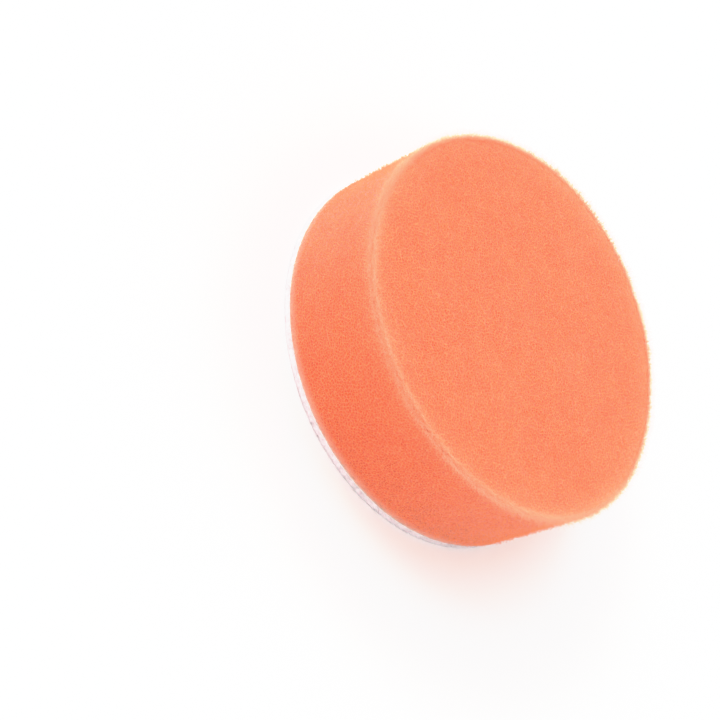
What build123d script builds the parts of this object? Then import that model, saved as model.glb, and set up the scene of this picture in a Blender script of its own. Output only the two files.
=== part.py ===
from build123d import *
import os

# Round foam polishing pad with a loop-fabric backing, in millimetres.
#
# The pad's axis is Z. It lies on its loop backing, so the loop face is at Z = 0 and the foam's
# working face looks up (+Z). The pad is a bonded stack of four layers, all cut to one diameter:
# loop pile, ground knit, adhesive film, foam.

# Driving dimensions
pad_diameter = 80.0
pad_thickness = 25.6
pile_thickness = 1.1
knit_thickness = 0.35
film_thickness = 0.15
working_edge_radius = 0.6

# Heights of the faces where one layer ends and the next begins
knit_bottom = pile_thickness
film_bottom = knit_bottom + knit_thickness
foam_bottom = film_bottom + film_thickness
foam_thickness = pad_thickness - foam_bottom

pad_radius = pad_diameter / 2


# Loop pile: the brushed loops that the hooks of a backing plate catch. It meets the plate, or the
# table that the pad lies on.
with BuildPart() as loop_pile:
    with BuildSketch(Plane.XY):
        Circle(pad_radius)
    extrude(amount=pile_thickness)

# Ground knit: the warp-knitted cloth that holds the feet of the loops.
with BuildPart() as ground_knit:
    with BuildSketch(Plane.XY.offset(knit_bottom)):
        Circle(pad_radius)
    extrude(amount=knit_thickness)

# Adhesive film: the hot-melt layer that bonds the cloth to the foam.
with BuildPart() as adhesive_film:
    with BuildSketch(Plane.XY.offset(film_bottom)):
        Circle(pad_radius)
    extrude(amount=film_thickness)

# Foam disc: one block of open-cell foam with a straight side wall. Its edge is sharp where it is
# bonded to the backing, and slightly rounded at the working face.
with BuildPart() as foam_disc:
    with BuildSketch(Plane.XY.offset(foam_bottom)):
        Circle(pad_radius)
    extrude(amount=foam_thickness)
    working_face = foam_disc.faces().sort_by(Axis.Z)[-1]
    fillet(working_face.edges(), radius=working_edge_radius)


loop_pile.part.label = "backing_loop_pile"
ground_knit.part.label = "backing_ground_knit"
adhesive_film.part.label = "adhesive_film"
foam_disc.part.label = "foam_disc"

os.makedirs("parts", exist_ok=True)
export_step(loop_pile.part, "parts/backing_loop_pile.step")
export_step(ground_knit.part, "parts/backing_ground_knit.step")
export_step(adhesive_film.part, "parts/adhesive_film.step")
export_step(foam_disc.part, "parts/foam_disc.step")
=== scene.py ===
import math

import bpy
import numpy as np
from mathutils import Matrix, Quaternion, Vector, kdtree, noise
from mathutils.geometry import delaunay_2d_cdt


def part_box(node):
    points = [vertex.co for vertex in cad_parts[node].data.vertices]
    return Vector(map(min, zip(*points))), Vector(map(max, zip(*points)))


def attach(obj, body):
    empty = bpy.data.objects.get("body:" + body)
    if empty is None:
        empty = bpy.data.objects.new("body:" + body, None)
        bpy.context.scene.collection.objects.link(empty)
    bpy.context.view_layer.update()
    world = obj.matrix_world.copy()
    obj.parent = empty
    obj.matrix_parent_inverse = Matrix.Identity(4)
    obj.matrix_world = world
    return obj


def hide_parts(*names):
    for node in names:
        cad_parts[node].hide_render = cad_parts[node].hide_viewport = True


# A round foam polishing pad on a loop-fabric backing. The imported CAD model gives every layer's place
# and size; this script makes the foam's cut cells, the loop cloth and the light around it.
# Lengths are in metres. MM turns millimetres into metres.

MM = 0.001
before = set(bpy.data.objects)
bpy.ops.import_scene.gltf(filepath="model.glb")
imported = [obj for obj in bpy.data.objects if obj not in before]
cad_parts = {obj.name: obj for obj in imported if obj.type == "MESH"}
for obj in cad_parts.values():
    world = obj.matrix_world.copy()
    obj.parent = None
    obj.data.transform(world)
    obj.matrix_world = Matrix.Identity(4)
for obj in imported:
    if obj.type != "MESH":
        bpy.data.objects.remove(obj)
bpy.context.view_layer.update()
random = np.random.default_rng(7)

# Layer heights and radius, all from the frame
foam_low, foam_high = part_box("foam_disc")
film_low, film_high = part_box("adhesive_film")
knit_low, knit_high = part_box("backing_ground_knit")
pile_low, pile_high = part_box("backing_loop_pile")
pad_radius = foam_high.x

# Foam
foam_cell = 0.68 * MM          # from the middle of one open cell to the next
foam_mesh_step = 0.335 * MM    # spacing of the foam block's mesh points
pore_depth = 0.15 * MM         # how deep a cut cell dips below its border
block_inset = 0.03 * MM        # how far the block is set in, so that the struts stand out of it
working_edge_radius = 0.6 * MM
out_of_round = 0.42 * MM       # how far the soft block stands off a true circle
swells = ((14 * MM, 0.20 * MM), (3.5 * MM, 0.06 * MM))    # size and height of the block's swells
strut_width = 0.12 * MM
loose_end_length = (0.12 * MM, 0.85 * MM)
loose_end_count = 42000
loose_end_clearance = 3 * MM   # nearer than this to the cloth, loose ends are shorter
torn_spacing = 0.14 * MM       # from one torn strut of the working edge to the next
torn_strut_width = 0.048 * MM
torn_reach = 2.3 * MM          # length of the longest torn struts
torn_band = (0.15 * MM, 0.22 * MM)   # how far their feet go onto the face and down the side
strut_root = 0.05 * MM         # how deep loose and torn struts are set into the foam
edge_glow_fades = ((0.40, 2.2 * MM), (0.40, 0.6 * MM))    # shares of painted glow at the working edge, and their fading
bonded_glow_fade = (0.62, 2.3 * MM)                      # the same painted glow next to the cloth

# Loop cloth
wale_pitch = 1.34 * MM         # one row of loops to the next
course_pitch = 0.88 * MM       # one loop to the next along a row
wale_angle = math.radians(62)  # the rows' direction from +X
filament_radius = 0.045 * MM
mat_lift = 0.20 * MM           # from the loop face up to the mat of loop feet
loop_root = 0.55 * MM          # from the loop face up to where the loops are rooted in the mat
pile_mesh_step = 0.37 * MM
knit_mesh_step = 0.5 * MM
film_mesh_step = 0.8 * MM
edge_fibre_count = 3600
edge_fibre_radius = 0.04 * MM
longest_edge_fibre = 0.75 * MM

# Colours, as linear red, green and blue
foam_block_colour = (0.96, 0.230, 0.065)
foam_strut_colour = (0.99, 0.39, 0.137)
# Painted shade: the darker, redder colour deep in the cut cells.
pit_shade_colour = (0.72, 0.076, 0.015)
# Painted glow: paler colours standing for light that passes through thin struts, round the working
# edge, on the torn struts and next to the cloth.
edge_glow_colour = (0.99, 0.58, 0.33)
torn_strut_glow_colour = (0.99, 0.70, 0.46)
bonded_glow_colour = (0.93, 0.56, 0.42)
film_colours = ((0.80, 0.66, 0.56), (0.88, 0.50, 0.34))     # clear, and soaked into the foam
knit_colours = ((0.97, 0.905, 0.91), (0.88, 0.79, 0.805))   # light and dark threads
pile_colours = ((0.97, 0.89, 0.905), (0.85, 0.75, 0.775))
filament_colours = ((0.97, 0.90, 0.915), (0.90, 0.81, 0.835))
floor_colours = ((0.84, 0.84, 0.84), (0.85, 0.85, 0.85))
key_colour = (1.0, 0.985, 0.97)

# Studio
key_direction = Vector((-0.77, 0.06, 0.64)).normalized()
key_strength = 1.25
room_strength = (0.92, 1.25)   # away from the key, and on the key's side
camera_place = Vector((0, -7.855, 6.871)) * pad_radius
camera_aim = Vector((-0.132, -0.506, 0)) * pad_radius
camera_roll = math.radians(67.1)


# ---------------------------------------------------------------- mesh building

def smooth_step(low, high, value):
    t = min(1.0, max(0.0, (value - low) / (high - low)))
    return t * t * (3 - 2 * t)


def disc_rings(radius, height, step):
    """Rings of (radius, height, count) from the centre out, with 6 more points on each ring."""
    rings = max(2, round(radius / step))
    return [(radius * k / rings, height, max(1, 6 * k)) for k in range(rings + 1)]


def wall_rings(radius, start, end, count, end_radius=None):
    """Rings down or up a wall, without its first and last. It is straight unless it ends at another
    radius than it starts at."""
    step = 2 * math.pi * radius / count * 0.866
    rows = max(2, round(abs(end - start) / step))
    change = 0.0 if end_radius is None else end_radius - radius
    return [(radius + change * (k / rows) ** 2, start + (end - start) * k / rows, count)
            for k in range(1, rows)]


def ring_points(rings, jitter):
    """The rings' points. Every second ring is turned half a step, and jitter moves points by that
    share of their spacing, so that no pattern shows."""
    made = []
    for index, (radius, height, count) in enumerate(rings):
        turn = np.arange(count) + 0.5 * (index % 2)
        if count > 1:
            turn = turn + random.uniform(-jitter, jitter, count)
        angle = turn * 2 * math.pi / count
        made.append(np.stack([radius * np.cos(angle), radius * np.sin(angle),
                              np.full(count, height)], axis=1))
    return np.concatenate(made)


def ring_faces(rings):
    """Triangles between each ring and the next, whatever their counts, facing away from the inside
    when the rings run from the top's centre down to the bottom's centre."""
    faces, start = [], 0
    for index in range(len(rings) - 1):
        a_count, b_count = rings[index][2], rings[index + 1][2]
        a_start, b_start = start, start + a_count
        a_turn, b_turn = 0.5 * (index % 2), 0.5 * ((index + 1) % 2)
        a = b = 0
        while a < a_count or b < b_count:
            a_next = (a + 1 + a_turn) / a_count if a < a_count and a_count > 1 else math.inf
            b_next = (b + 1 + b_turn) / b_count if b < b_count and b_count > 1 else math.inf
            if a_next == b_next == math.inf:
                break
            here_a, here_b = a_start + a % a_count, b_start + b % b_count
            if a_next < b_next:
                faces.append((here_a, here_b, a_start + (a + 1) % a_count))
                a += 1
            else:
                faces.append((here_a, here_b, b_start + (b + 1) % b_count))
                b += 1
        start = b_start
    return np.array(faces, np.int64)


def point_normals(points, faces):
    a, b, c = (points[faces[:, k]] for k in range(3))
    across = np.cross(b - a, c - a)
    total = np.zeros_like(points)
    for k in range(3):
        np.add.at(total, faces[:, k], across)
    return total / np.maximum(np.linalg.norm(total, axis=1, keepdims=True), 1e-20)


def add_piece(name, points, faces, material, smooth=True):
    """A mesh object, in the CAD model's frame, that rides on the pad's one body."""
    mesh = bpy.data.meshes.new(name)
    mesh.vertices.add(len(points))
    mesh.vertices.foreach_set("co", np.asarray(points, np.float32).ravel())
    mesh.loops.add(faces.size)
    mesh.loops.foreach_set("vertex_index", faces.astype(np.int32).ravel())
    mesh.polygons.add(len(faces))
    mesh.polygons.foreach_set("loop_start", np.arange(0, faces.size, faces.shape[1], dtype=np.int32))
    mesh.update(calc_edges=True)
    mesh.validate()
    mesh.polygons.foreach_set("use_smooth", [smooth] * len(mesh.polygons))
    mesh.materials.append(material)
    piece = bpy.data.objects.new(name, mesh)
    bpy.context.scene.collection.objects.link(piece)
    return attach(piece, "root")


# ---------------------------------------------------------------- materials

class Graph:
    """A material's node tree, with one short call to add a node and link or set its inputs."""

    def __init__(self, name):
        self.material = bpy.data.materials.new(name)
        self.material.use_nodes = True
        self.tree = self.material.node_tree
        self.tree.nodes.clear()

    def add(self, kind, inputs=None, **settings):
        made = self.tree.nodes.new(kind)
        for key, value in settings.items():
            setattr(made, key, value)
        for key, value in (inputs or {}).items():
            if isinstance(value, bpy.types.NodeSocket):
                self.tree.links.new(value, made.inputs[key])
            else:
                made.inputs[key].default_value = value
        return made

    def combine(self, a, b, operation="ADD"):
        return self.add("ShaderNodeMath", {0: a, 1: b}, operation=operation).outputs[0]

    def ramp(self, value, low, high, out_low=0.0, out_high=1.0):
        made = self.add("ShaderNodeMapRange", {"Value": value, "From Min": low, "From Max": high,
                                               "To Min": out_low, "To Max": out_high},
                        interpolation_type="SMOOTHSTEP")
        return made.outputs["Result"]

    def mix(self, share, a, b):
        made = self.add("ShaderNodeMix", {"Factor": share, "A": a, "B": b}, data_type="RGBA")
        return made.outputs["Result"]

    def shade(self, principled):
        output = self.add("ShaderNodeOutputMaterial")
        self.tree.links.new(principled.outputs["BSDF"], output.inputs["Surface"])
        return self.material


def colour(rgb):
    return (*rgb, 1.0)


def cells(graph, place, size):
    """Distance from the middle of the nearest cell, in cell sizes."""
    made = graph.add("ShaderNodeTexVoronoi", {"Vector": place, "Scale": 1 / size, "Randomness": 1.0},
                     feature="F1", voronoi_dimensions="3D")
    return made.outputs["Distance"]


def clouds(graph, place, size, detail=2.0):
    made = graph.add("ShaderNodeTexNoise", {"Vector": place, "Scale": 1 / size, "Detail": detail,
                                            "Roughness": 0.55}, noise_dimensions="3D")
    return made.outputs["Fac"]


def foam_material(name, strut=True, least_glow_share=0.0, sheen=0.85):
    """Open-cell foam. Struts are light, and the insides of cut cells are redder and darker: painted
    shade, deepest where the cells dip. Round the working edge, and next to the cloth, a paler colour is
    painted glow, standing for light that thin struts let through. The block isn't a strut: it has its
    cells' depth as an attribute. The third argument is the torn struts' least share of their own
    painted glow colour, and 0 for the rest."""
    graph = Graph(name)
    place = graph.add("ShaderNodeTexCoord").outputs["Object"]
    split = graph.add("ShaderNodeSeparateXYZ", {0: place})
    flat = graph.add("ShaderNodeCombineXYZ", {0: split.outputs["X"], 1: split.outputs["Y"], 2: 0.0})
    reach = graph.add("ShaderNodeVectorMath", {0: flat.outputs[0]}, operation="LENGTH").outputs["Value"]
    height = split.outputs["Z"]

    fine = graph.ramp(cells(graph, place, 0.42 * foam_cell), 0.15, 0.75, 1.0, 0.0)
    # The pit share is painted shade: it darkens and reddens the colour towards the middles of the cut
    # cells.
    if strut:
        pit_shade = graph.combine(fine, 0.35, "MULTIPLY")
    else:
        depth = graph.add("ShaderNodeAttribute", attribute_name="cell_depth").outputs["Fac"]
        pit_shade = graph.combine(depth, 0.6, "MULTIPLY")
        pit_shade = graph.combine(pit_shade, graph.combine(fine, 0.4, "MULTIPLY"))
    drift = graph.ramp(clouds(graph, place, 7 * MM), 0.3, 0.7, -0.05, 0.05)
    shade = graph.combine(pit_shade, drift)
    light = foam_strut_colour if strut else foam_block_colour
    base = graph.mix(shade, colour(light), colour(pit_shade_colour))

    # Painted glow: a paler colour round the working edge stands for light that passes through thin
    # struts.
    inward = graph.combine(reach, pad_radius, "SUBTRACT")
    down = graph.combine(height, foam_high.z, "SUBTRACT")
    squares = graph.combine(graph.combine(inward, 2.0, "POWER"), graph.combine(down, 2.0, "POWER"))
    from_edge = graph.combine(squares, 0.5, "POWER")
    torn = least_glow_share
    for share, width in edge_glow_fades:
        fall = graph.combine(math.e, graph.combine(from_edge, -1 / width, "MULTIPLY"), "POWER")
        torn = graph.combine(graph.combine(fall, share, "MULTIPLY"), torn)
    base = graph.mix(torn, base, colour(torn_strut_glow_colour if least_glow_share else edge_glow_colour))
    # Painted glow next to the cloth too: paler towards the bonded face.
    share, width = bonded_glow_fade
    bonded = graph.ramp(height, foam_low.z, foam_low.z + width, share, 0.0)
    base = graph.mix(bonded, base, colour(bonded_glow_colour))

    relief = graph.combine(1.0, fine, "SUBTRACT")
    bumped = graph.add("ShaderNodeBump", {"Strength": 0.5, "Distance": 0.10 * MM, "Height": relief})
    principled = graph.add("ShaderNodeBsdfPrincipled", {
        "Base Color": base,
        "Roughness": graph.ramp(pit_shade, 0.0, 1.0, 0.72, 0.92),
        "Specular IOR Level": 0.3,
        "Subsurface Weight": 0.3,
        "Subsurface Radius": (1.0, 0.45, 0.3),
        "Subsurface Scale": 1.5 * MM,
        "Sheen Weight": sheen,
        "Sheen Roughness": 0.55,
        "Sheen Tint": colour((1.0, 0.86, 0.84)),
        "Normal": bumped.outputs["Normal"]})
    return graph.shade(principled)


def film_material():
    """Hot-melt film: milky, a little glossy, tinted by the foam that it has soaked into."""
    graph = Graph("hot_melt_film")
    place = graph.add("ShaderNodeTexCoord").outputs["Object"]
    soaked = graph.ramp(clouds(graph, place, 0.5 * MM), 0.35, 0.65)
    clear_colour, soaked_colour = film_colours
    base = graph.mix(soaked, colour(clear_colour), colour(soaked_colour))
    bumped = graph.add("ShaderNodeBump", {"Strength": 0.4, "Distance": 0.05 * MM,
                                          "Height": clouds(graph, place, 0.3 * MM)})
    principled = graph.add("ShaderNodeBsdfPrincipled", {
        "Base Color": base,
        "Roughness": graph.ramp(soaked, 0.0, 1.0, 0.45, 0.65),
        "Subsurface Weight": 0.3,
        "Subsurface Radius": (1.0, 0.7, 0.6),
        "Subsurface Scale": 0.6 * MM,
        "Normal": bumped.outputs["Normal"]})
    return graph.shade(principled)


def cloth_material(name, colours, thread, sheen):
    """White knitted yarn: bands along the rows of loops, fibres of thread size, and a soft sheen.
    colours are the light and the dark one."""
    light, dark = colours
    graph = Graph(name)
    place = graph.add("ShaderNodeTexCoord").outputs["Object"]
    turned = graph.add("ShaderNodeMapping", {"Vector": place, "Rotation": (0, 0, -wale_angle)})
    rows = graph.add("ShaderNodeTexWave", {"Vector": turned.outputs["Vector"],
                                           "Scale": 2 * math.pi / wale_pitch / 20,
                                           "Distortion": 1.2, "Detail": 2.0, "Detail Scale": 3.0},
                     wave_type="BANDS", bands_direction="Y")
    fibres = clouds(graph, place, thread, 4.0)
    tufts = graph.ramp(clouds(graph, place, 4 * thread), 0.35, 0.65)
    mixed = graph.combine(graph.combine(rows.outputs["Fac"], 0.35, "MULTIPLY"),
                          graph.combine(tufts, 0.45, "MULTIPLY"))
    base = graph.mix(graph.combine(mixed, graph.combine(fibres, 0.2, "MULTIPLY")),
                     colour(dark), colour(light))
    bumped = graph.add("ShaderNodeBump", {"Strength": 0.5, "Distance": 0.12 * MM, "Height": fibres})
    principled = graph.add("ShaderNodeBsdfPrincipled", {
        "Base Color": base,
        "Roughness": graph.ramp(fibres, 0.3, 0.7, 0.7, 0.9),
        "Specular IOR Level": 0.3,
        "Subsurface Weight": 0.25,
        "Subsurface Radius": (1.0, 0.8, 0.85),
        "Subsurface Scale": 0.6 * MM,
        "Sheen Weight": sheen,
        "Sheen Roughness": 0.4,
        "Sheen Tint": colour((1.0, 0.97, 1.0)),
        "Normal": bumped.outputs["Normal"]})
    return graph.shade(principled)


def floor_material():
    graph = Graph("studio_floor")
    place = graph.add("ShaderNodeTexCoord").outputs["Object"]
    darker, lighter = floor_colours
    base = graph.mix(clouds(graph, place, 60 * MM), colour(darker), colour(lighter))
    return graph.shade(graph.add("ShaderNodeBsdfPrincipled", {
        "Base Color": base, "Roughness": 0.9, "Specular IOR Level": 0.2}))


# ---------------------------------------------------------------- foam

# The foam's surface is unrolled into two flat maps. One is the working face with its rounded edge,
# as a disc, and the other is the side wall, as a strip. Cells are scattered over the maps, the
# borders between them are the struts, and both are carried back onto the block.

face_flat_radius = pad_radius - working_edge_radius
face_map_radius = face_flat_radius + working_edge_radius * math.pi / 2
wall_top = foam_high.z - working_edge_radius
wall_height = wall_top - foam_low.z


def from_face_map(spots):
    """Places and outward directions on the working face and its rounded edge."""
    reach = np.hypot(spots[:, 0], spots[:, 1])
    heading = spots / np.maximum(reach, 1e-9)[:, None]
    turn = np.clip((reach - face_flat_radius) / working_edge_radius, 0, math.pi / 2)
    radius = np.where(turn > 0, face_flat_radius + working_edge_radius * np.sin(turn), reach)
    height = foam_high.z - working_edge_radius * (1 - np.cos(turn))
    places = np.column_stack([heading * radius[:, None], height])
    outward = np.column_stack([heading * np.sin(turn)[:, None], np.cos(turn)])
    return places, outward


def from_wall_map(spots):
    """Places and outward directions on the side wall, from distance round it and height on it."""
    angle = spots[:, 0] / pad_radius
    outward = np.column_stack([np.cos(angle), np.sin(angle), np.zeros(len(angle))])
    places = outward * pad_radius + np.outer(foam_low.z + spots[:, 1], [0, 0, 1])
    return places, outward


def scattered(x_low, x_high, y_low, y_high, spacing):
    """Spots in staggered rows, each moved off its place at random, so that cells come out uneven."""
    rows = np.arange(y_low, y_high, spacing * 0.866)
    columns = np.arange(x_low, x_high, spacing)
    x, y = np.meshgrid(columns, rows)
    x = x + 0.5 * spacing * (np.arange(len(rows))[:, None] % 2)
    spots = np.stack([x.ravel(), y.ravel()], axis=1)
    return spots + random.uniform(-0.42, 0.42, spots.shape) * spacing


def cell_borders(seeds):
    """The corners where three cells meet, and the pairs of corners that a border joins."""
    found = delaunay_2d_cdt([Vector(seed) for seed in seeds], [], [], 0, 1e-9, False)
    spots, corners = np.array([tuple(spot) for spot in found[0]]), np.array(found[2])
    a, b, c = (spots[corners[:, k]] for k in range(3))
    b, c = b - a, c - a
    scale = 2 * (b[:, 0] * c[:, 1] - b[:, 1] * c[:, 0])
    b_square, c_square = (b ** 2).sum(axis=1), (c ** 2).sum(axis=1)
    centre = a + np.stack([c[:, 1] * b_square - b[:, 1] * c_square,
                           b[:, 0] * c_square - c[:, 0] * b_square], axis=1) / scale[:, None]
    sides = np.concatenate([corners[:, ends] for ends in ([0, 1], [1, 2], [2, 0])])
    sides = np.sort(sides, axis=1)
    owner = np.tile(np.arange(len(corners)), 3)
    order = np.lexsort((sides[:, 1], sides[:, 0]))
    sides, owner = sides[order], owner[order]
    shared = np.flatnonzero((sides[1:] == sides[:-1]).all(axis=1))
    pairs = np.stack([owner[shared], owner[shared + 1]], axis=1)
    length = np.linalg.norm(centre[pairs[:, 0]] - centre[pairs[:, 1]], axis=1)
    return centre, pairs[length < 1.5 * foam_cell]


def face_cells():
    reach = face_map_radius + foam_cell
    seeds = scattered(-reach, reach, -reach, reach, foam_cell)
    seeds = seeds[np.hypot(seeds[:, 0], seeds[:, 1]) < reach]
    corners, pairs = cell_borders(seeds)
    inside = np.hypot(*corners.T) < face_map_radius
    return seeds, corners, pairs[inside[pairs].all(axis=1)]


def wall_cells():
    around = 2 * math.pi * pad_radius
    spacing = around / round(around / foam_cell)
    first = scattered(0, around - 0.5 * spacing, -spacing, wall_height + spacing, spacing)
    margin = 3 * spacing
    before = first[first[:, 0] > around - margin] - [around, 0]
    after = first[first[:, 0] < margin] + [around, 0]
    corners, pairs = cell_borders(np.concatenate([first, before, after]))
    middle = corners[pairs].mean(axis=1)
    ends = corners[pairs][:, :, 1]
    keep = (middle[:, 0] >= 0) & (middle[:, 0] < around)
    keep &= (ends > 0.1 * MM).all(axis=1) & (ends < wall_height + 0.1 * MM).all(axis=1)
    return first, corners, pairs[keep]


def settle(places, outward):
    """Moves places on the plain block out and in, as soft foam stands after cutting: a little out
    of round, most of all at the working face, with slow swells all over."""
    height = np.clip((places[:, 2] - foam_low.z) / wall_height, 0, 1)
    angle = np.arctan2(places[:, 1], places[:, 0])
    lobes = out_of_round * np.cos(3 * angle + math.radians(15)) * (0.35 + 0.65 * height)
    swell = np.array([sum(noise.noise(Vector(place) / size) * amount for size, amount in swells)
                      for place in places])
    swell *= np.clip((places[:, 2] - foam_low.z) / (0.5 * MM), 0, 1)
    reach = np.hypot(places[:, 0], places[:, 1])
    moved = places + outward * swell[:, None]
    moved[:, :2] *= (1 + lobes * np.clip(reach / pad_radius, 0, 1) / np.maximum(reach, 1e-9))[:, None]
    return moved


def foam_rings():
    """The foam block's outline as rings: working face, rounded edge, side wall, bonded face."""
    top, bottom = foam_high.z, foam_low.z
    rings = disc_rings(face_flat_radius, top, foam_mesh_step)
    count = rings[-1][2]
    arc_steps = round(working_edge_radius * math.pi / 2 / foam_mesh_step)
    for k in range(1, arc_steps + 1):
        turn = math.pi / 2 * k / arc_steps
        rings.append((face_flat_radius + working_edge_radius * math.sin(turn),
                      top - working_edge_radius * (1 - math.cos(turn)), count))
    rings += wall_rings(pad_radius, wall_top, bottom, count)
    rings.append((pad_radius, bottom, count))
    # The bonded face is hidden, so its rings have fewer and fewer points towards the middle.
    bonded = [(pad_radius - inset, bottom, count // share)
              for inset, share in ((0.8 * MM, 2), (2.5 * MM, 4), (6 * MM, 8))]
    return rings + bonded + disc_rings(pad_radius - 12 * MM, bottom, 4 * MM)[::-1]


def make_foam_block(cell_middles):
    """The block with a dip at every cut cell. Its vertex attribute says how deep in a cell it is, and
    the foam material paints shade by it.
    """
    rings = foam_rings()
    points = ring_points(rings, 0.22)
    faces = ring_faces(rings)
    outward = point_normals(points, faces)
    tree = kdtree.KDTree(len(cell_middles))
    for index, middle in enumerate(cell_middles):
        tree.insert(middle, index)
    tree.balance()
    depth = np.array([1 - smooth_step(0.05 * foam_cell, 0.62 * foam_cell, tree.find(point)[2])
                      for point in points])
    depth[points[:, 2] < foam_low.z + 0.01 * MM] = 0
    moved = settle(points, outward)
    moved -= outward * (pore_depth * depth + block_inset)[:, None]
    moved[:, 2] = np.maximum(moved[:, 2], foam_low.z)
    foam = add_piece("foam_disc_cut_cells", moved, faces, foam_material("open_cell_foam", strut=False))
    attribute = foam.data.attributes.new("cell_depth", "FLOAT", "POINT")
    attribute.data.foreach_set("value", depth.astype(np.float32))
    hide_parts("foam_disc")


def spindles(starts, ends, outward, widths):
    """A slim closed strut of four triangles from each start to its end. It is a flat edge across
    the surface at its start and an upright edge at its end."""
    along = ends - starts
    side = np.cross(along, outward)
    side /= np.maximum(np.linalg.norm(side, axis=1, keepdims=True), 1e-12)
    up = np.cross(side, along)
    up /= np.maximum(np.linalg.norm(up, axis=1, keepdims=True), 1e-12)
    half = 0.5 * widths[:, None]
    points = np.stack([starts - side * half, starts + side * half,
                       ends - up * half, ends + up * half], axis=1).reshape(-1, 3)
    first = 4 * np.arange(len(starts))[:, None, None]
    shape = np.array([[0, 1, 3], [1, 0, 2], [2, 3, 1], [3, 2, 0]])
    return points, (first + shape).reshape(-1, 3)


def make_cell_struts(name, corners, pairs, carry, material):
    """The struts between the cells of one map, carried onto the block. Gives back the struts' ends
    and the directions that point out of the foam there."""
    places, outward = carry(corners)
    lift = random.normal(0.03, 0.05, (len(places), 1)) * MM
    settled = settle(places, outward) + outward * lift
    starts, ends = settled[pairs[:, 0]], settled[pairs[:, 1]]
    stretch = 0.04 * (ends - starts)
    widths = strut_width * random.uniform(0.7, 1.3, len(pairs))
    points, faces = spindles(starts - stretch, ends + stretch, outward[pairs[:, 0]], widths)
    struts = add_piece(name, points, faces, material, smooth=False)
    return settled[np.unique(pairs)], outward[np.unique(pairs)]


def random_lean(outward, spread):
    """Directions round the outward ones, leaning by about that much to any side."""
    lean = outward + random.normal(0, spread, outward.shape)
    return lean / np.linalg.norm(lean, axis=1, keepdims=True)


def make_loose_ends(places, outward, material):
    """Ends of cut struts that stand out where three cells meet, shorter next to the cloth."""
    pick = random.choice(len(places), loose_end_count, replace=False)
    starts, outward = places[pick], outward[pick]
    shortest, longest = loose_end_length
    length = shortest + (longest - shortest) * random.random((loose_end_count, 1)) ** 1.8
    length *= np.clip((starts[:, 2:] - foam_low.z) / loose_end_clearance, 0.25, 1.0)
    ends = starts + length * random_lean(outward, 0.45)
    widths = np.full(loose_end_count, 0.85 * strut_width)
    helper = random_lean(outward, 2.0)
    points, faces = spindles(starts - strut_root * outward, ends, helper, widths)
    loose = add_piece("foam_loose_strut_ends", points, faces, material, smooth=False)


def make_torn_edge(material):
    """The working edge, where the blade has torn the thin corner open. Fine bent struts of mixed
    lengths stand out from it, leaning out and up."""
    arc = working_edge_radius * math.pi / 2
    onto_face, down_wall = torn_band
    spots = scattered(0, 2 * math.pi * pad_radius, -onto_face, arc + down_wall, torn_spacing)
    angle, over = spots[:, 0] / pad_radius, spots[:, 1]
    turn = np.clip(over / working_edge_radius, 0, math.pi / 2)
    past_face, past_wall = np.maximum(-over, 0), np.maximum(over - arc, 0)
    reach = face_flat_radius + working_edge_radius * np.sin(turn) - past_face
    level = wall_top + working_edge_radius * np.cos(turn) - past_wall
    heading = np.stack([np.cos(angle), np.sin(angle)], axis=1)
    outward = np.column_stack([heading * np.sin(turn)[:, None], np.cos(turn)])
    starts = settle(np.column_stack([heading * reach[:, None], level]), outward)
    length = torn_reach * (1 - 0.92 * random.random((len(spots), 1)) ** 0.6)
    diagonal = np.column_stack([heading, np.ones(len(heading))]) / math.sqrt(2)
    lean = random_lean(0.4 * outward + 0.6 * diagonal, 0.35)
    bends = starts + 0.5 * length * lean
    ends = bends + 0.5 * length * random_lean(lean, 0.5)
    starts -= strut_root * outward
    width = torn_strut_width * random.uniform(0.7, 1.3, len(starts))
    helper = random_lean(np.zeros_like(starts), 1.0)
    upward = outward[:, 2] > math.cos(math.radians(45))
    for name, side in (("foam_torn_face_edge", upward), ("foam_torn_side_edge", ~upward)):
        points, faces = spindles(np.concatenate([starts[side], bends[side]]),
                                 np.concatenate([bends[side], ends[side]]),
                                 np.concatenate([helper[side], helper[side]]),
                                 np.concatenate([width[side], 0.7 * width[side]]))
        torn = add_piece(name, points, faces, material, smooth=False)


def make_foam():
    face_seeds, face_corners, face_pairs = face_cells()
    wall_seeds, wall_corners, wall_pairs = wall_cells()
    middles = np.concatenate([from_face_map(face_seeds)[0], from_wall_map(wall_seeds)[0]])
    make_foam_block(middles)
    strut_look = foam_material("cut_foam_struts", sheen=0.5)
    # The torn struts carry painted glow all over, paler still near the working edge.
    torn_look = foam_material("torn_foam_struts", least_glow_share=0.15, sheen=0.1)
    face_places, face_outward = make_cell_struts("foam_face_struts", face_corners, face_pairs,
                                                 from_face_map, strut_look)
    wall_places, wall_outward = make_cell_struts("foam_side_struts", wall_corners, wall_pairs,
                                                 from_wall_map, strut_look)
    places = np.concatenate([face_places, wall_places])
    outward = np.concatenate([face_outward, wall_outward])
    make_loose_ends(places, outward, strut_look)
    make_torn_edge(torn_look)


# ---------------------------------------------------------------- backing

def layer_rings(radius, top, bottom, step, bottom_radius=None):
    """A flat round layer as rings, from the top's centre round the edge to the bottom's centre."""
    upper = disc_rings(radius, top, step)
    count = upper[-1][2]
    lower = disc_rings(bottom_radius or radius, bottom, step)
    return upper + wall_rings(radius, top, bottom, count, bottom_radius) + lower[::-1]


def ragged(points, size, amount):
    """Moves a layer's cut edge in and out a little, by noise of that size."""
    reach = np.hypot(points[:, 0], points[:, 1])
    for index in np.flatnonzero(reach > pad_radius - 0.5 * MM):
        place = Vector(points[index])
        push = noise.noise(place / size) * amount + noise.noise(place / (0.35 * size)) * 0.5 * amount
        points[index, :2] *= 1 + push / reach[index]


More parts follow.
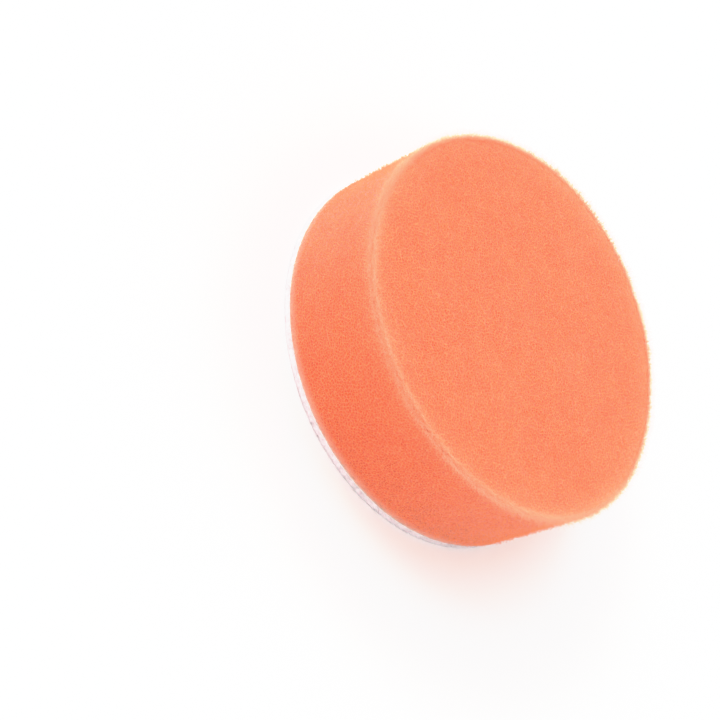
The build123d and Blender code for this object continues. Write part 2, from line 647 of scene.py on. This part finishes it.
def make_film():
    """The film of hot-melt glue between the cloth and the foam, with a slightly uneven edge."""
    rings = layer_rings(pad_radius - 0.05 * MM, film_high.z, film_low.z, film_mesh_step)
    points = ring_points(rings, 0.1)
    ragged(points, size=1.2 * MM, amount=0.08 * MM)
    film = add_piece("hot_melt_film", points, ring_faces(rings), film_material())
    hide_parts("adhesive_film")


def row_wave(x, y):
    """From -1 between two rows of loops to 1 on a row."""
    across = -x * math.sin(wale_angle) + y * math.cos(wale_angle)
    return math.cos(across * 2 * math.pi / wale_pitch)


def make_knit():
    """The knitted cloth that holds the loops. It is grooved on its lower side between the rows."""
    rings = layer_rings(pad_radius, knit_high.z, knit_low.z, knit_mesh_step)
    points = ring_points(rings, 0.15)
    for index in np.flatnonzero(points[:, 2] < knit_low.z + 0.01 * MM):
        points[index, 2] += 0.06 * MM * (1 - row_wave(*points[index, :2]))
    ragged(points, size=1.0 * MM, amount=0.12 * MM)
    material = cloth_material("warp_knit_ground", knit_colours, thread=0.12 * MM, sheen=0.1)
    knit = add_piece("ground_knit_cloth", points, ring_faces(rings), material)
    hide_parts("backing_ground_knit")
    return knit


def make_pile(material):
    """The brushed mat of loop feet: ribbed along the rows, tufted, and ragged at its cut edge."""
    surface = pile_low.z + mat_lift
    rings = layer_rings(pad_radius - 0.05 * MM, pile_high.z, surface, pile_mesh_step,
                        pad_radius + 0.15 * MM)
    points = ring_points(rings, 0.25)
    for index in np.flatnonzero(points[:, 2] < surface + 0.01 * MM):
        place = Vector(points[index])
        reach = math.hypot(place.x, place.y)
        inner = 1 - smooth_step(pad_radius - 1.2 * MM, pad_radius - 0.5 * MM, reach)
        tuft = noise.noise(place / (0.55 * MM)) * 0.09 * MM + noise.noise(place / (5 * MM)) * 0.03 * MM
        ribbed = surface + tuft - 0.08 * MM * row_wave(place.x, place.y)
        points[index, 2] = inner * ribbed + (1 - inner) * (pile_low.z + 0.03 * MM)
    ragged(points, size=0.7 * MM, amount=0.16 * MM)
    points[:, 2] = np.maximum(points[:, 2], pile_low.z + 0.02 * MM)
    pile = add_piece("loop_pile_mat", points, ring_faces(rings), material)
    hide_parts("backing_loop_pile")
    return pile


def tubes(lines, radii):
    """Three-sided tubes with closed ends along many lines of the same point count."""
    count, steps = lines.shape[:2]
    along = np.gradient(lines, axis=1)
    along /= np.linalg.norm(along, axis=2, keepdims=True)
    helper = np.where(np.abs(along[..., 2:]) < 0.9, [0.0, 0.0, 1.0], [1.0, 0.0, 0.0])
    side = np.cross(along, helper)
    side /= np.linalg.norm(side, axis=2, keepdims=True)
    other = np.cross(along, side)
    rings = [lines + radii[..., None] * (side * math.cos(t) + other * math.sin(t))
             for t in (0, 2 * math.pi / 3, 4 * math.pi / 3)]
    points = np.stack(rings, axis=2).reshape(-1, 3)
    quads = []
    for step in range(steps - 1):
        for k in range(3):
            a, b = 3 * step + k, 3 * step + (k + 1) % 3
            quads += [(a, b, b + 3), (a, b + 3, a + 3)]
    last = 3 * (steps - 1)
    shape = np.array(quads + [(0, 2, 1), (last, last + 1, last + 2)])
    first = 3 * steps * np.arange(count)[:, None, None]
    return points, (first + shape).reshape(-1, 3)


def make_loops(material):
    """One loop at each stitch of the rows. It leaves the mat, bows out to the loop face and comes
    back, leaning where the brush has pushed it."""
    rows = int(pad_radius / wale_pitch) + 1
    stitches = int(pad_radius / course_pitch) + 1
    row, stitch = np.meshgrid(np.arange(-rows, rows + 1), np.arange(-stitches, stitches + 1))
    across = row.ravel() * wale_pitch + random.normal(0, 0.10 * MM, row.size)
    along = (stitch.ravel() + 0.5 * (row.ravel() % 2)) * course_pitch
    along = along + random.normal(0, 0.12 * MM, row.size)
    keep = np.hypot(across, along) < pad_radius - 0.35 * MM
    across, along = across[keep], along[keep]
    cos_a, sin_a = math.cos(wale_angle), math.sin(wale_angle)
    x, y = along * cos_a - across * sin_a, along * sin_a + across * cos_a
    count = len(x)
    steps = np.linspace(0, 1, 8)
    heading = wale_angle + random.normal(0.5, 0.55, count)
    width = random.uniform(0.28, 0.50, count) * MM
    lean = random.normal(0, 0.22, (count, 2)) * MM + np.array([0.14, 0.10]) * MM
    top = pile_low.z + loop_root
    reach = top - pile_low.z - random.uniform(0.05, 0.28, count) * MM
    arch = np.sin(math.pi * steps)
    swing = -np.cos(math.pi * steps)
    lines = np.empty((count, len(steps), 3))
    lines[..., 0] = x[:, None] + np.outer(width * np.cos(heading), swing) + np.outer(lean[:, 0], arch)
    lines[..., 1] = y[:, None] + np.outer(width * np.sin(heading), swing) + np.outer(lean[:, 1], arch)
    lines[..., 2] = top - np.outer(reach, arch ** 0.8)
    radii = np.full(lines.shape[:2], filament_radius)
    lines[..., 2] = np.maximum(lines[..., 2], pile_low.z + filament_radius + 0.01 * MM)
    points, faces = tubes(lines, radii)
    loops = add_piece("loop_filaments", points, faces, material)
    return loops


def make_edge_fibres(material):
    """Yarn ends that the die cut left sticking out round the cloth's edge."""
    count = edge_fibre_count
    angle = random.uniform(0, 2 * math.pi, count)
    height = random.uniform(pile_low.z + 0.15 * MM, knit_high.z - 0.05 * MM, count)
    out = np.stack([np.cos(angle), np.sin(angle), np.zeros(count)], axis=1)
    side = np.stack([-np.sin(angle), np.cos(angle), np.zeros(count)], axis=1)
    length = random.gamma(2.2, 0.11, (count, 1)) * MM + 0.08 * MM
    length = np.minimum(length, longest_edge_fibre)
    bend = random.normal(0, 0.6, (count, 1))
    drop = random.normal(-0.25, 0.45, (count, 1))
    root = out * (pad_radius - 0.15 * MM) + np.array([0, 0, 1.0]) * height[:, None]
    lines = []
    for t in (0, 0.4, 0.75, 1.0):
        lines.append(root + out * (0.15 * MM + length * t) * (0.4 + 0.6 * (1 - 0.3 * t))
                     + side * length * bend * t * t + np.array([0, 0, 1.0]) * length * drop * t * t)
    lines = np.stack(lines, axis=1)
    lines[..., 2] = np.maximum(lines[..., 2], pile_low.z + 0.04 * MM)
    radii = np.outer(np.full(count, edge_fibre_radius), [1.0, 0.95, 0.8, 0.35])
    points, faces = tubes(lines, radii)
    fibres = add_piece("cut_edge_fibres", points, faces, material)
    return fibres


def make_backing():
    make_film()
    knit = make_knit()
    pile_look = cloth_material("loop_pile_yarn", pile_colours, thread=0.16 * MM, sheen=0.2)
    fibre_look = cloth_material("loop_filament_yarn", filament_colours, thread=0.2 * MM, sheen=0.2)
    with_pieces = [make_pile(pile_look), make_loops(fibre_look), make_edge_fibres(fibre_look)]


# ---------------------------------------------------------------- studio

def make_floor():
    bpy.ops.mesh.primitive_circle_add(vertices=128, radius=6.0, fill_type="NGON")
    floor = bpy.context.object
    floor.name = "studio_floor"
    floor.data.materials.append(floor_material())


def make_light():
    """A soft key from the -X side, in a white room that is brighter on the key's side."""
    key = bpy.data.lights.new("soft_key", "SUN")
    key.energy = key_strength
    key.angle = math.radians(50)
    key.color = key_colour
    lamp = bpy.data.objects.new("soft_key", key)
    lamp.rotation_mode = "QUATERNION"
    lamp.rotation_quaternion = key_direction.to_track_quat("Z", "Y")
    bpy.context.scene.collection.objects.link(lamp)

    world = bpy.data.worlds.new("white_room")
    world.use_nodes = True
    tree = world.node_tree
    tree.nodes.clear()
    place = tree.nodes.new("ShaderNodeTexCoord")
    towards = tree.nodes.new("ShaderNodeVectorMath")
    towards.operation = "DOT_PRODUCT"
    towards.inputs[1].default_value = key_direction
    fade = tree.nodes.new("ShaderNodeMapRange")
    fade.interpolation_type = "SMOOTHSTEP"
    dim, bright = room_strength
    for socket, value in {"From Min": -0.3, "From Max": 1.0, "To Min": dim, "To Max": bright}.items():
        fade.inputs[socket].default_value = value
    background = tree.nodes.new("ShaderNodeBackground")
    background.inputs["Color"].default_value = colour((1.0, 1.0, 1.0))
    output = tree.nodes.new("ShaderNodeOutputWorld")
    tree.links.new(place.outputs["Generated"], towards.inputs[0])
    tree.links.new(towards.outputs["Value"], fade.inputs["Value"])
    tree.links.new(fade.outputs["Result"], background.inputs["Strength"])
    tree.links.new(background.outputs["Background"], output.inputs["Surface"])
    bpy.context.scene.world = world


def make_camera():
    """A 100 mm lens about 0.4 m from the pad, rolled so that the pad's axis points right and up."""
    lens = bpy.data.cameras.new("camera")
    lens.lens = 100
    lens.sensor_width = 36
    lens.clip_start = 0.01
    lens.clip_end = 50
    camera = bpy.data.objects.new("camera", lens)
    bpy.context.scene.collection.objects.link(camera)
    roll = Quaternion((0, 0, 1), camera_roll)
    camera.rotation_mode = "QUATERNION"
    camera.location = camera_place
    camera.rotation_quaternion = (camera_aim - camera_place).to_track_quat("-Z", "Y") @ roll
    bpy.context.scene.camera = camera


# Pairs of scene light and how bright the camera shows it. Before that, red light is lifted as in the
# pairs of red_curve, because a camera's red channel clips before the others on an orange object in
# strong light.
tone_curve = ((0.3, 0.3), (0.46, 0.475), (0.58, 0.665), (0.68, 0.82), (0.8, 0.93), (1.0, 0.967),
              (1.1, 0.995))
red_curve = ((0.6, 0.6), (0.7, 0.73), (0.78, 0.85), (0.85, 0.94), (1.03, 1.03))


def camera_response():
    """Standard colours, with the soft shoulder that a camera gives its highlights."""
    view = bpy.context.scene.view_settings
    view.view_transform = "Standard"
    view.look = "None"
    view.exposure = 0.0
    view.gamma = 1.0
    view.use_curve_mapping = True
    brightest = 1.7
    curves = view.curve_mapping
    curves.white_level = (brightest, brightest, brightest)
    points = curves.curves[3].points
    for light, shown in tone_curve:
        points.new(light / brightest, shown)
    red = curves.curves[0].points
    for light, clipped in red_curve:
        red.new(light / brightest, clipped / brightest)
    curves.update()


make_camera()
make_foam()
make_backing()
make_floor()
make_light()
camera_response()
